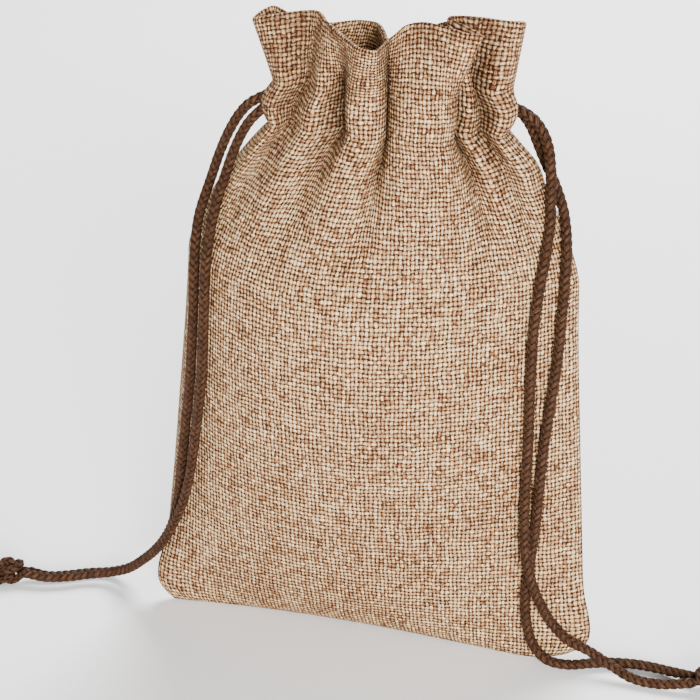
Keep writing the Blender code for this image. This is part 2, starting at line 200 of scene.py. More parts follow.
# Each strand's hidden lead inside the casing, which comes before its route.
LEADS = {
    "cord_left_a": ((-23.4, 0.4, 125.3), (-25.2, -0.8, 124.9)),
    "cord_left_b": ((-23.7, -0.6, 124.0), (-25.2, -2.0, 122.8)),
    "cord_right_a": ((26.4, 1.6, 125.8), (28.2, 0.4, 125.9)),
    "cord_right_b": ((27.2, 2.2, 125.4), (28.8, 2.1, 124.7)),
}

# --------------------------------------
# Fine sizes that only the looks need, with lengths in millimetres.
AROUND = 360              # columns of points round the cloth
SEAM_CROWD = 7.0          # how far they are drawn towards the two side seams
UP = 128                  # rows from the bottom fold to the mouth
RIM_ROWS = 5              # rows over the mouth's turned edge
THREADS_AROUND = 220      # warp threads in the whole strip
SEAM_TURN = 1.1           # the outside's extra length where it turns round a side seam
SEAM_REACH = 1.0          # and how far each side of the seam that reaches
THREAD_UP = 1.029         # millimetres from weft thread to weft thread
SLOPE_STEP = 0.3          # over which the cloth's slopes are read
LEAST_ANGLE = 0.001       # the half angles, in radians, among which an arc's is looked up
MOST_ANGLE = 1.5
ANGLE_COUNT = 400
TINY = 1e-9               # keeps a length that is divided by from being 0

BRAID_PITCH = 6.6         # one strand's full turn, in millimetres along the cord
BRAID_STEP = 0.26         # along the cord, between the rings of a strand
CORD_PLUMP = 1.05         # how much thicker the loose braid is than the cord pulled straight
STRANDS_EACH_WAY = 4
STRAND_WIDTH = 1.02
STRAND_THICK = 0.74
STRAND_SIDES = 8
STRAND_SQUARE = 0.8       # 1 for a strand of elliptic section, less for fuller corners
STRAND_HOLD = 1.6         # how long a strand stays out or in before it crosses over
BRAID_MIDDLE = 0.53       # radius a strand keeps to on average
BRAID_SWING = 0.25        # and how far it swings out and in
FIRST_SIDE = (0.3, 1.0, 0.2)      # a direction that no cord starts along

# The painted shade in the neck's folds, darkening the cloth's colour: how far round they are felt, at how
# many places that is looked at, how deep is full shade, and how dark that is.
HOLLOW_REACH = 5.0
HOLLOW_LOOKS = 7
HOLLOW_DEEP = 9.0
HOLLOW_SHADE = 0.80

# The lower corners: how far they bulge out, at what height, and how they round off.
CORNER_START = 0.72
CORNER_OUT = 1.7
CORNER_UP = 7.0
CORNER_TALL = 7.0
CORNER_ROUND = 3.2
CORNER_CUT = 5.0
CORNER_LIFT = 2.2

# How the right shoulder swells just under the casing.
SHOULDER_OUT = 1.5
SHOULDER_UP = 117.0
SHOULDER_TALL = 5.0

# Where the cloth is drawn in round the cords' way out of the casing.
EXIT_UP = 129.0
EXIT_BEHIND = 1.6         # behind the side seam
EXIT_HALF_WIDTH = 2.2
EXIT_HALF_HEIGHT = 4.5
EXIT_DEPTH = 1.8

# The overhand knots: heading in degrees from +X, and how they are drawn tight.
KNOTS = {"left": 184.0, "right": -8.0}
KNOT_STRAND = 1.75        # across a strand squeezed in a knot
KNOT_POINTS = 64
KNOT_NEAR = 4             # neighbours along a strand that may be closer than it is thick
KNOT_STEPS = 420
KNOT_SLIM = 0.88          # a strand's thickness in a knot, to its own outside it
KNOT_PULL = 0.5           # share of a bend that one step straightens
KNOT_PUSHES = 3           # pushes after each pull
KNOT_PUSH = 0.25          # share of an overlap that one push takes up
KNOT_SAG = 0.004          # how far one push lets the knot sink
KNOT_ROUNDINGS = 2
KNOT_AHEAD = 5.0          # from the strands' ends to the middle of the loose knot
KNOT_LIFT = 3.0           # and how far above them it starts
KNOT_LONG = 15.5          # from the strands' ends to the tails' ends
KNOT_SQUASH = 0.42        # how much of its length along the cord the loose knot keeps
TAIL_SPREAD = 1.5

# The loose knot that they are tied from: a trefoil's span, points and size, and the ends drawn out of it.
TREFOIL_END = 2.05
TREFOIL_POINTS = 90
TREFOIL_SIZE = 2.6
LOOSE_START = ((-30.0, 4.0, 0.0), (-18.0, 6.0, -4.0))
LOOSE_END = ((18.0, 6.0, 4.0), (30.0, 4.0, 0.0))

# --------------------------------------
# The weave, with lengths in threads: how its lines of threads drift, and its broad patches of tone.
DRIFT_SCALE = 0.21
DRIFT_SCALE_UP = 0.23
DRIFT_KEY = 7.0
PATCH_SCALE = 0.045
PATCH_KEY = 31.0
PATCH_SHARE = 0.12

# The noises along the yarns: how far apart they put two neighbouring yarns, how fast they run along one,
# a key of their own, which the weft adds to, and their detail.
SWAY = (5.3, 0.30, 0.0, 2.0)
SLUB = (5.3, 0.45, 5.0, 2.0)
LONG = (7.7, 0.09, 3.0, 1.0)
SHORT = (3.1, 0.50, 11.0, 2.0)
WEFT_KEY = 40.0

# A yarn's form: how far it sways aside, how thick it is from its middle at thin places and at slubs, and
# how much it thickens and rises where it lies on top, and how much painted light it gets there, with
# painted shade where it dips.
SWAY_WIDE = 0.32
SLUB_LOW = 0.3
SLUB_HIGH = 0.7
YARN_THIN = 0.25
YARN_THICK = 0.47
YARN_SWELL = 0.04
WAVE_HEIGHT = 0.42
WAVE_LIGHT = 0.16
CROSSING = 0.03           # height over which one yarn gives way to the other

# A yarn's tone: the mean, what its long and short stretches and its fibres add, and the painted light on
# its raised parts, which is painted shade on its low parts.
TONE = 0.465
LONG_SHARE = 0.45
SHORT_SHARE = 0.95
FIBRE_SHARE = 1.0
FIBRE_ACROSS = 7.0
FIBRE_ALONG = 1.1
TOP_MIDDLE = 0.75
TOP_PAINTED_LIGHT = 0.40
HEM_SHADE = -0.05          # painted shade: the neck and mouth are darker, standing in for the double cloth there letting less light through
HEM_BELOW = 8.0           # millimetres below the casing where that starts
HEM_ABOVE = 2.0           # and above it where it is full

# The cloth's colours by tone, the painted shade of the gaps between its yarns and of the yarns' flanks and
# how high that reaches, and its relief in millimetres.
YARN = (
    (0.12, (0.055, 0.019, 0.007)),
    (0.30, (0.185, 0.072, 0.028)),
    (0.44, (0.370, 0.208, 0.100)),
    (0.60, (0.600, 0.400, 0.210)),
    (0.86, (0.880, 0.680, 0.430)),
)
GAP_SHADE = (0.022, 0.008, 0.003, 1.0)
GAP_LOW = 0.08
GAP_HIGH = 0.94
WEAVE_DEEP = 0.50
FIBRE_RELIEF = 0.12
CLOTH_ROUGHNESS = 0.85
CLOTH_SPECULAR = 0.12

# The braid: its colours by filament, and the painted shade of a strand that dips in among the others. A
# strand is painted dark up to the first share of the cord's radius and bright from the second on.
BRAID_BROWN = (
    (0.30, (0.013, 0.005, 0.002)),
    (0.50, (0.038, 0.015, 0.006)),
    (0.72, (0.112, 0.052, 0.027)),
)
BRAID_SHADE = (0.010, 0.004, 0.002, 1.0)
BRAID_SUNK = 0.69
BRAID_PROUD = 1.05
BRAID_ROUGHNESS = 0.6
BRAID_SPECULAR = 0.08
FILAMENT_AROUND = 2.4     # how fine its filaments are round a strand
FILAMENT_ALONG = 0.35     # and along it
FILAMENT_SCALE = 1.6
FILAMENT_DETAIL = 3.0
FILAMENT_ROUGH = 0.6
FILAMENT_DEEP = 0.10      # in millimetres
FILAMENT_STRENGTH = 0.8

# The mix node's two colours and its result: their names are shared by other sockets, their numbers aren't.
MIX_FIRST = 6
MIX_SECOND = 7
MIX_RESULT = 2

# --------------------------------------
# The camera looks down on the pouch's front from a little to its right: what it aims at and how far that
# is, in millimetres, its angles in degrees and its lens.
AIM = (-6.45, 0.0, 67.7)
YAW = 13.746
ELEVATION = 21.964
ROLL = 1.286
DISTANCE = 439.4
LENS = 101.80
SENSOR = 36.0
CLIP_START = 0.01         # in metres
CLIP_END = 20.0

# The studio, in metres: the floor, and each light's name, place, size and power.
FLOOR_SIZE = 4.0
FLOOR_COLOUR = (0.92, 0.92, 0.92)
FLOOR_ROUGHNESS = 0.9
LIGHTS = (
    ("key", (0.45, -1.02, 0.33), 0.40, 38.0),
    ("fill", (-0.9, -0.7, 0.3), 0.8, 3.0),
    ("back", (0.1, 0.9, 1.0), 0.9, 44.0),
)
LIT_PLACE = (0.0, 0.0, 0.06)      # what they all point at
WORLD_LIGHT = 0.5


# --------------------------------------
# The cloth's surface.
def column(rows, names, name):
    """One named column of a table as an array."""
    return np.array([row[names.index(name)] for row in rows])


def hermite(places, values, at):
    """Smooth curve through a table's values, read at an array of places."""
    slopes = np.gradient(values, places, axis=0)
    index = np.clip(np.searchsorted(places, at) - 1, 0, len(places) - 2)
    step = places[index + 1] - places[index]
    part = (at - places[index]) / step
    if values.ndim > 1:
        step = step[..., None]
        part = part[..., None]
    keep = (1 + 2 * part) * (1 - part) ** 2
    lead = part * (1 - part) ** 2 * step
    take = part ** 2 * (3 - 2 * part)
    trail = part ** 2 * (part - 1) * step
    return (keep * values[index] + lead * slopes[index]
            + take * values[index + 1] + trail * slopes[index + 1])


def body(name, up):
    """A value of the body's table at heights up the cloth."""
    ups = column(BODY, BODY_COLUMNS, "up")
    return hermite(ups, column(BODY, BODY_COLUMNS, name), np.minimum(up, ups[-1]))


def fold_forward(across):
    """How far forward of the seams' plane the bottom fold lies."""
    places = column(FOLD, FOLD_COLUMNS, "across")
    return hermite(places, column(FOLD, FOLD_COLUMNS, "forward"), across)


def gather(name, along):
    """A value of the gathers' table, round the closed cloth."""
    perimeter = 2 * CLOTH_WIDTH
    places = column(GATHERS, GATHER_COLUMNS, "along")
    values = column(GATHERS, GATHER_COLUMNS, name)
    places = np.concatenate([places[-2:] - perimeter, places, places[:3] + perimeter])
    values = np.concatenate([values[-2:], values, values[:3]])
    return hermite(places, values, along % perimeter)


def arc_angle(depth_share):
    """Half angle of the arc whose depth is this share of half its length."""
    angles = np.linspace(LEAST_ANGLE, MOST_ANGLE, ANGLE_COUNT)
    return np.interp(depth_share, (1 - np.cos(angles)) / angles, angles)


def ramp(value, start, end):
    """0 up to start, 1 from end on, straight between."""
    return np.clip((value - start) / (end - start), 0.0, 1.0)


def side_of(along):
    """Place across from -1 at the left seam to 1 at the right, and whether it is on the front."""
    along = along % (2 * CLOTH_WIDTH)
    is_front = along <= CLOTH_WIDTH
    return np.where(is_front, 2 * along / CLOTH_WIDTH - 1, 3 - 2 * along / CLOTH_WIDTH), is_front


def corner_shift(across, up):
    """How the two lower corners bulge out to the side and round off, in X and Z."""
    side = np.sign(across)
    near = ramp(np.abs(across), CORNER_START, 1.0) ** 2
    out = CORNER_OUT * np.exp(-((up - CORNER_UP) / CORNER_TALL) ** 2)
    cut = CORNER_ROUND * (1 - ramp(up, 0.0, CORNER_CUT)) ** 2
    lift = np.where(side > 0, CORNER_LIFT, 0.0) * np.exp(-up / CORNER_TALL)
    return side * near * (out - cut), near * lift


def body_rise(across, is_front, up):
    """How high the cloth of the filled body lies."""
    inner = 1 - across ** 2
    seam_rise = body("seam_rise", up)
    front_share = inner ** RISE_POWER
    front_rise = front_share * body("front_rise", up) + (1 - front_share) * seam_rise
    back_share = inner ** BACK_RISE_POWER
    back_rise = back_share * body("back_rise", up) + (1 - back_share) * seam_rise
    back_rise = np.maximum(back_rise - SETTLE * (1 - across ** 4) * np.exp(-up / SETTLE_FADE), 0.0)
    rise = np.where(is_front, front_rise, back_rise)
    return rise + NECK_SLANT * across * ramp(up, GATHER_START, CASING_LOW)


def body_point(along, up):
    """The cloth of the filled body, before the neck draws it in. At each level the front and the back
    are arcs that meet at the side seams."""
    across, is_front = side_of(along)
    half_arc = body("half_arc", up)
    depth = np.maximum(np.where(is_front, body("front", up), body("back", up)), FLAT_DEPTH)
    angle = arc_angle(depth / half_arc)
    radius = half_arc / angle
    front_angle = arc_angle(np.maximum(body("front", up), FLAT_DEPTH) / half_arc)
    seam_x = half_arc / front_angle * np.sin(front_angle)
    x = seam_x * np.sin(angle * across) / np.sin(angle)
    bulge = radius * (np.cos(angle * across) - np.cos(angle))
    fuller = depth * (1 - across ** 2) * (SHOULDER_FULLNESS * across ** 2 - LEFT_FULLNESS * across)
    bulge = bulge + np.where(is_front, fuller, 0.0)
    from_edge = np.minimum((1 - np.abs(across)) * CLOTH_WIDTH / 2, up)
    bulge = bulge + EDGE_ROOM * ramp(from_edge, 0, EDGE_REACH) * (1 - ramp(up, GATHER_START, CASING_LOW))
    shift = -fold_forward(across) * (1 - ramp(up, 0, FOLD_FADE)) ** 2
    y = shift + np.where(is_front, -bulge, bulge)
    corner_x, corner_z = corner_shift(across, up)
    return np.stack([x + corner_x, y, body_rise(across, is_front, up) + corner_z], -1)


def neck_ring(along):
    """The smooth ring of the neck, before its creases."""
    across, is_front = side_of(along)
    turn = across * math.pi / 2
    depth = np.where(is_front, -NECK_FRONT, NECK_BACK)
    return np.stack([NECK_CENTRE + NECK_HALF_WIDTH * np.sin(turn), depth * np.cos(turn)], -1)


def cloth_points(along, up, puff=PUFF):
    """Middle of the cloth's thickness at arrays of places along and up the flat pouch."""
    point = body_point(along, np.minimum(up, CASING_HIGH))
    ring = neck_ring(along)
    between = ramp(up, CASING_LOW, CASING_HIGH)
    waist_x = gather("waist_x", along) + gather("low_x", along) * (1 - between)
    waist_y = gather("waist_y", along) + gather("low_y", along) * (1 - between)
    waist = np.stack([waist_x, waist_y], -1)
    drawn_in = (ramp(up, GATHER_START, CASING_LOW) ** GATHER_POWER)[..., None]
    creased = (ramp(up, CREASE_START, CASING_LOW) ** CREASE_POWER)[..., None]
    place = point[..., :2] * (1 - drawn_in) + ring * drawn_in + (waist - ring) * creased
    across, _ = side_of(along)
    at_seam = PUFF_PLAIN + (1 - PUFF_PLAIN) * across ** 4
    swell = (puff * at_seam * np.sin(math.pi * between))[..., None]
    centre = np.array([NECK_CENTRE, 0.0])
    place = centre + (place - centre) * (1 + swell)
    shoulder = np.maximum(across, 0.0) ** 3 * np.exp(-((up - SHOULDER_UP) / SHOULDER_TALL) ** 2)
    place[..., 0] += SHOULDER_OUT * shoulder
    flared = ramp(up, CASING_HIGH, CLOTH_HEIGHT)[..., None]
    mouth = np.stack([gather("mouth_x", along), gather("mouth_y", along)], -1)
    place = place * (1 - flared) + mouth * flared
    height = point[..., 2:] * (1 - flared) + gather("mouth_z", along)[..., None] * flared
    return np.concatenate([place, height + CAD_THICK / 2], -1) + np.array(TO_ORIGIN)


def layered_rows():
    """Every row of the closed cloth: how far up, how far out from its middle, and its place along the
    strip, which runs up the outside, over the turned edge of the mouth and down the inside."""
    half = CLOTH_THICK / 2
    outside = [(up, half, up) for up in np.linspace(0, CLOTH_HEIGHT, UP)]
    turned = []
    for step in range(1, RIM_ROWS):
        angle = math.pi * step / RIM_ROWS
        turned.append((CLOTH_HEIGHT + half * math.sin(angle), half * math.cos(angle),
                       CLOTH_HEIGHT + half * angle))
    inside = [(up, -half, CLOTH_HEIGHT + math.pi * half + CLOTH_HEIGHT - up)
              for up in np.linspace(CLOTH_HEIGHT, 0, UP)]
    return np.array(outside + turned + inside)


def exit_hollow(along, up):
    """How deep the cloth is drawn in where the cords leave the casing, just behind both side seams."""
    around = along % (2 * CLOTH_WIDTH)
    from_right = np.abs(around - CLOTH_WIDTH)
    from_nearer = np.minimum(from_right, CLOTH_WIDTH - from_right)
    behind = np.where(around > CLOTH_WIDTH, from_nearer, -from_nearer) - EXIT_BEHIND
    wide = np.exp(-(behind / EXIT_HALF_WIDTH) ** 4)
    high = np.exp(-((up - EXIT_UP) / EXIT_HALF_HEIGHT) ** 4)
    return EXIT_DEPTH * wide * high


def surface_normals(along, up, puff):
    """Outward normals of the cloth's middle surface, from its slopes."""
    low = np.clip(up - SLOPE_STEP, 0, CLOTH_HEIGHT)
    high = np.clip(up + SLOPE_STEP, 0, CLOTH_HEIGHT)
    across = cloth_points(along + SLOPE_STEP, up, puff) - cloth_points(along - SLOPE_STEP, up, puff)
    upward = cloth_points(along, high, puff) - cloth_points(along, low, puff)
    normal = np.cross(across, upward)
    return normal / np.maximum(np.linalg.norm(normal, axis=-1, keepdims=True), TINY)


def columns_around():
    """Places of the mesh's columns round the cloth, closer together at the side seams."""
    even = np.arange(AROUND + 1) * 2 * CLOTH_WIDTH / AROUND
    return even - SEAM_CROWD * np.sin(2 * math.pi * even / CLOTH_WIDTH)


def threads_around(along):
    """Warp threads counted round the cloth's outside, from the left seam."""
    turned = -0.5
    for seam in (0.0, CLOTH_WIDTH, 2 * CLOTH_WIDTH):
        turned = turned + ramp(along, seam - SEAM_REACH, seam + SEAM_REACH)
    return (along + SEAM_TURN * turned) * THREADS_AROUND / (2 * CLOTH_WIDTH + 2 * SEAM_TURN)


def hollows(along, up):
    """How deep the cloth lies in the neck's folds, from 0 to 1: how far the cloth beside it stands out. It
    sets the painted shade there.
    """
    across, is_front = side_of(along)
    turn = across * math.pi / 2
    outward = np.stack([np.sin(turn), np.where(is_front, -1, 1) * np.cos(turn)], -1)
    stands = [((cloth_points(along + away, up)[..., :2] - neck_ring(along + away)) * outward).sum(-1)
              for away in np.linspace(-HOLLOW_REACH, HOLLOW_REACH, HOLLOW_LOOKS)]
    deep = np.max(stands, axis=0) - stands[HOLLOW_LOOKS // 2]
    return np.clip(deep / HOLLOW_DEEP, 0.0, 1.0) * ramp(up, CREASE_START, CASING_LOW)


def make_cloth(name):
    """The sack's cloth as one closed sheet, with its UV in threads."""
    rows = layered_rows()
    columns = columns_around()
    along, up = np.meshgrid(columns[:-1], np.minimum(rows[:, 0], CLOTH_HEIGHT))
    out = rows[:, 1][:, None]
    puff = np.where(out > 0, PUFF, 0.0) + 0 * along
    lift = np.maximum(rows[:, 0] - CLOTH_HEIGHT, 0)[:, None, None] * np.array([0, 0, 1.0])
    normals = surface_normals(along, up, puff)
    sink = np.where(out > 0, exit_hollow(along, up), 0.0)
    points = cloth_points(along, up, puff) + lift + normals * (out - sink)[..., None]
    points[..., 2] = np.maximum(points[..., 2], 0.0)
    hollow = np.where(out > 0, hollows(along, up), 0.0)
    return grid_piece(name, points, hollow, threads_around(columns), rows[:, 2] / THREAD_UP)


def grid_piece(name, points, hollow, threads_round, threads_up):
    """A piece closed round its columns and along the fold of its first and last rows, with a UV map in
    threads. The back's half of each of those rows is the front's, seen from behind."""
    count, around = points.shape[:2]
    number = np.arange(count * around).reshape(count, around)
    mirrored = (around - np.arange(around)) % around
    behind = np.arange(around) > around // 2
    number[0, behind] = number[0, mirrored[behind]]
    number[-1, behind] = number[-1, mirrored[behind]]
    after = np.roll(number, -1, axis=1)
    faces = np.stack([number[:-1], after[:-1], after[1:], number[1:]], -1).reshape(-1, 4)
    used, faces = np.unique(faces, return_inverse=True)
    row_of, column_of = np.divmod(np.arange((count - 1) * around), around)
    uv = face_corners(threads_round[column_of], threads_round[column_of + 1],
                      threads_up[row_of], threads_up[row_of + 1])
    return make_piece(name, points.reshape(-1, 3)[used], faces.reshape(-1, 4).tolist(),
                      ("threads", uv), ("hollow", hollow.ravel()[used]))


def face_corners(left, right, low, high):
    """UV places of the four corners of each face, in the order of its points."""
    corners = [np.stack([left, low], -1), np.stack([right, low], -1),
               np.stack([right, high], -1), np.stack([left, high], -1)]
    return np.stack(corners, 1).reshape(-1, 2)


def make_piece(name, points, faces, uv, values):
    """A smooth piece from points in millimetres, with a named UV map and a named value on each point."""
    mesh = bpy.data.meshes.new(name)
    mesh.from_pydata((points * MM).tolist(), [], faces)
    uv_name, corners = uv
    layer = mesh.uv_layers.new(name=uv_name)
    layer.data.foreach_set("uv", corners.astype(np.float32).ravel())
    value_name, numbers = values
    attribute = mesh.attributes.new(value_name, "FLOAT", "POINT")
    attribute.data.foreach_set("value", numbers.astype(np.float32))
    mesh.shade_smooth()
    piece = bpy.data.objects.new(name, mesh)
    bpy.context.scene.collection.objects.link(piece)
    return piece


# --------------------------------------
# The braided cords.
def run_of(line):
    """How far along a line each of its points is."""
    return np.concatenate([[0.0], np.cumsum(np.linalg.norm(np.diff(line, axis=0), axis=1))])


def smooth_route(points, spacing):
    """Points at about this spacing on the smooth curve through a route's own points."""
    places = np.array(points, float)
    run = run_of(places)
    count = round(run[-1] / spacing)
    return hermite(run, places, np.linspace(0, run[-1], count + 1))


def in_frame(points):
    """A cord's route as a fine line, moved to the frame's origin."""
    return smooth_route(points, BRAID_STEP) + np.array(TO_ORIGIN)


def directions(line):
    """Unit tangents along a line of points."""
    tangents = np.gradient(line, axis=0)
    return tangents / np.linalg.norm(tangents, axis=1, keepdims=True)


def carried_frames(line):
    """Two directions square to the line at each point, carried along it without twist."""
    tangents = directions(line)
    first = np.cross(tangents[0], FIRST_SIDE)
    sides = [first / np.linalg.norm(first)]
    for tangent in tangents[1:]:
        side = sides[-1] - tangent * sides[-1].dot(tangent)
        sides.append(side / np.linalg.norm(side))
    sides = np.array(sides)
    return sides, np.cross(tangents, sides)


def squared(part):
    """A sine or cosine drawn towards -1 and 1, for a section with fuller corners than an ellipse."""
    return math.copysign(abs(part) ** STRAND_SQUARE, part)


def strand_rings(line, sides, ups, hand, number, slim):
    """Rings of points of one strand: it winds round the line, over two strands and under two."""
    run = run_of(line)
    offset = math.pi / STRANDS_EACH_WAY if hand < 0 else 0
    turn = hand * 2 * math.pi * run / BRAID_PITCH + number * 2 * math.pi / STRANDS_EACH_WAY + offset
    swing = np.tanh(STRAND_HOLD * np.sin(2 * turn)) / math.tanh(STRAND_HOLD)
    radius = slim * (BRAID_MIDDLE + hand * BRAID_SWING * swing)
    outward = np.cos(turn)[:, None] * sides + np.sin(turn)[:, None] * ups
    centre = line + radius[:, None] * outward
    tangents = directions(centre)
    outward = outward - tangents * (outward * tangents).sum(1, keepdims=True)
    outward /= np.linalg.norm(outward, axis=1, keepdims=True)
    beside = np.cross(tangents, outward)
    rings = []
    for angle in np.arange(STRAND_SIDES) * 2 * math.pi / STRAND_SIDES:
        wide = slim * STRAND_WIDTH / 2 * squared(math.cos(angle))
        thick = slim * STRAND_THICK / 2 * squared(math.sin(angle))
        rings.append(centre + wide * beside + thick * outward)
    return np.stack(rings, 1)


def strand_faces(ring_count, first):
    """Faces of one strand, both its ends closed, for points numbered on from the first."""
    index = np.arange(ring_count * STRAND_SIDES).reshape(-1, STRAND_SIDES) + first
    after = np.roll(index, -1, axis=1)
    quads = np.stack([index[1:], after[1:], after[:-1], index[:-1]], -1).reshape(-1, 4)
    return quads.tolist() + [index[0].tolist(), index[-1][::-1].tolist()]


def strand_uv(run):
    """UV places of one strand's faces: a share of the way round it, and millimetres along it."""
    side = np.tile(np.arange(STRAND_SIDES) / STRAND_SIDES, len(run) - 1)
    near = np.repeat(run[:-1], STRAND_SIDES)
    far = np.repeat(run[1:], STRAND_SIDES)
    quads = face_corners(side, side + 1 / STRAND_SIDES, far, near)
    ends = np.zeros((2 * STRAND_SIDES, 2))
    return np.concatenate([quads, ends])


def make_braids(name, lines, slim):
    """Eight strands braided round each of these lines, all as one piece, with closed ends."""
    points, faces, corners, depths = [], [], [], []
    count = 0
    for line in lines:
        sides, ups = carried_frames(line)
        for hand in (1, -1):
            for number in range(STRANDS_EACH_WAY):
                rings = strand_rings(line, sides, ups, hand, number, slim)
                outward = np.linalg.norm(rings - line[:, None], axis=2) * 2 / (CORD_DIAMETER * slim)
                points.append(rings.reshape(-1, 3))
                depths.append(outward.ravel())
                faces += strand_faces(len(rings), count)
                corners.append(strand_uv(run_of(line)))
                count += len(rings) * STRAND_SIDES
    return make_piece(name, np.concatenate(points), faces, ("strand", np.concatenate(corners)),
                      ("outward", np.concatenate(depths)))


# --------------------------------------
# The knots.
def respaced(line, count):
    """The same line with its points evenly spread."""
    run = run_of(line)
    even = np.linspace(0, run[-1], count)
    return np.stack([np.interp(even, run, line[:, axis]) for axis in range(3)], -1)


def loose_knot():
    """An open overhand knot about the X axis: a polynomial trefoil with both its ends drawn out."""
    t = np.linspace(-TREFOIL_END, TREFOIL_END, TREFOIL_POINTS)
    middle = np.stack([t ** 3 - 3 * t, t ** 4 - 4 * t ** 2 + 2, (t ** 5 - 10 * t) / 6], -1) * TREFOIL_SIZE
    return respaced(np.concatenate([LOOSE_START, middle, LOOSE_END]), KNOT_POINTS)


def laid_knot(starts, heading):
    """The two strands of an open overhand knot, side by side, ahead of where they start."""
    turn = math.radians(heading)
    ahead = np.array([math.cos(turn), math.sin(turn), 0.0])
    aside = np.array([-math.sin(turn), math.cos(turn), 0.0])
    above = np.array([0.0, 0.0, 1.0])
    middle = np.mean(starts, axis=0)
    loose = loose_knot()
    sides, _ = carried_frames(loose)
    strands = []
    for start, hand in zip(starts, (1, -1)):
        shape = loose + sides * hand * KNOT_STRAND / 2
        shape = shape * np.array([KNOT_SQUASH, 1.0, 1.0])
        strand = shape[:, :1] * ahead + shape[:, 1:2] * aside + shape[:, 2:] * above
        strand = strand + middle + ahead * KNOT_AHEAD + above * KNOT_LIFT
        strand[0] = start
        strand[-1] = middle + ahead * KNOT_LONG + aside * hand * TAIL_SPREAD
        strand[-1, 2] = KNOT_STRAND / 2
        strands.append(strand)
    return np.concatenate(strands)


def tie_knot(starts, heading):
    """Centrelines of the two strands of an overhand knot, drawn tight. Each step shortens both strands,
    pushes them apart where they are closer than they are thick, and lets them sink."""
    points = laid_knot(starts, heading)
    halves = (slice(0, KNOT_POINTS), slice(KNOT_POINTS, None))
    own = np.repeat([0, 1], KNOT_POINTS)
    place = np.tile(np.arange(KNOT_POINTS), 2)
    near = (own[:, None] == own[None]) & (np.abs(place[:, None] - place[None]) <= KNOT_NEAR)
    held = np.isin(place, (0, 1, KNOT_POINTS - 1))
    for _ in range(KNOT_STEPS):
        for half in halves:
            strand = respaced(points[half], KNOT_POINTS)
            strand[1:-1] += KNOT_PULL * ((strand[:-2] + strand[2:]) / 2 - strand[1:-1])
            points[half] = strand
        for _ in range(KNOT_PUSHES):
            gap = points[:, None] - points[None]
            far = np.linalg.norm(gap, axis=-1) + TINY
            short = np.where(near, 0.0, np.maximum(KNOT_STRAND - far, 0.0))
            push = (gap / far[..., None] * short[..., None] * KNOT_PUSH).sum(1)
            push[held] = 0.0
            points = points + push
            points[~held, 2] -= KNOT_SAG
            points[:, 2] = np.maximum(points[:, 2], KNOT_STRAND / 2)
    return [rounded(points[half]) for half in halves]


def rounded(points):
    """A line of coarse points, rounded and spaced for the braid."""
    for _ in range(KNOT_ROUNDINGS):
        points[1:-1] = (points[:-2] + 2 * points[1:-1] + points[2:]) / 4
    return smooth_route(points, BRAID_STEP)


